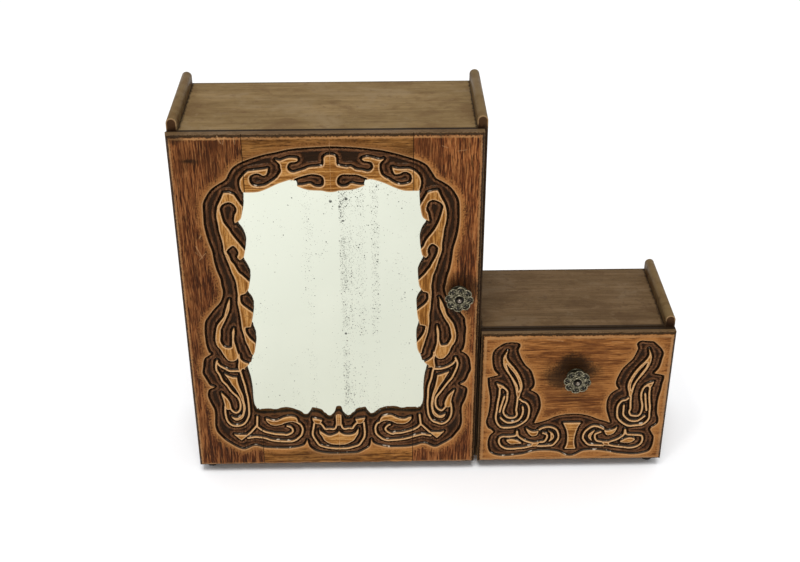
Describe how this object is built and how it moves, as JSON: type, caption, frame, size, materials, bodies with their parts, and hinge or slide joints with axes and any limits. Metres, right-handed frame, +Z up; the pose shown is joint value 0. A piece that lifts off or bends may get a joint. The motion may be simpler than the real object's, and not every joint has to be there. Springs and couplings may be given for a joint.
{
  "type": "jewelry armoire",
  "caption": "Tabletop jewelry armoire: a shallow cabinet with a carved, mirrored door beside a low box with a carved-front drawer, both with filigree knobs and raised side rails.",
  "frame": {"origin": "centre of the underside of the bounding box, on the plane the feet stand on", "axes": "+Z up, front of the door and the drawer facing -Y, +X to the viewer's right as seen from the front"},
  "size_m": [0.4516, 0.1306, 0.372],
  "materials": {
    "case_board": "worn greyish brown stain, satin",
    "front_stain": "reddish brown stain, carved and rubbed back at the edges",
    "back_ply": "unfinished plywood",
    "drawer_wood": "plain light wood",
    "steel_hardware": "dull",
    "brass_hardware": "aged",
    "antiqued_metal": "antiqued, dark with rubbed highlights",
    "foot_plastic": "matte",
    "mirror_face": "foxed silvering",
    "backing_board": "matte board",
    "velvet": "short pile"
  },
  "bodies": {
    "case": {"left_side_panel": "case_board", "right_side_panel": "case_board", "cabinet_top": "case_board", "cabinet_bottom": "case_board", "cabinet_back": "back_ply", "cabinet_back_nails": "steel_hardware", "cabinet_shelf": "case_board", "shelf_pins": "brass_hardware", "necklace_rail": "drawer_wood", "necklace_pegs": "brass_hardware", "door_magnet": "steel_hardware", "feet": "foot_plastic", "drawer_box_top": "case_board", "drawer_box_bottom": "case_board", "drawer_box_back": "back_ply", "drawer_box_back_nails": "steel_hardware", "outer_side_panel": "case_board", "joining_screws": "steel_hardware", "upper_hinge_case_leaf": "brass_hardware", "lower_hinge_case_leaf": "brass_hardware", "hinge_pins": "steel_hardware", "case_hinge_screws": "brass_hardware"},
    "door": {"door_hinge_stile": "front_stain", "door_knob_stile": "front_stain", "door_top_rail": "front_stain", "door_bottom_rail": "front_stain", "mirror_glass": "mirror_face", "mirror_backing": "backing_board", "mirror_clips": "brass_hardware", "mirror_clip_screws": "brass_hardware", "upper_hinge_door_leaf": "brass_hardware", "lower_hinge_door_leaf": "brass_hardware", "door_hinge_screws": "brass_hardware", "door_strike_disc": "steel_hardware", "door_knob_backplate": "antiqued_metal", "door_knob_stem": "antiqued_metal", "door_knob_rosette": "antiqued_metal", "door_knob_screw": "steel_hardware"},
    "drawer": {"drawer_front": "front_stain", "drawer_left_side": "drawer_wood", "drawer_right_side": "drawer_wood", "drawer_back": "drawer_wood", "drawer_bottom": "drawer_wood", "drawer_lining": "velvet", "drawer_knob_backplate": "antiqued_metal", "drawer_knob_stem": "antiqued_metal", "drawer_knob_rosette": "antiqued_metal", "drawer_knob_screw": "steel_hardware"}
  },
  "joints": [
    {"name": "door_hinge", "type": "hinge", "parent": "case", "child": "door", "pos_m": [-0.2245, -0.04, 0.1855], "axis": [0, 0, -1], "range_deg": [0, 170]},
    {"name": "drawer_slide", "type": "slide", "parent": "case", "child": "drawer", "axis": [0, -1, 0], "range_m": [0, 0.085]}
  ]
}
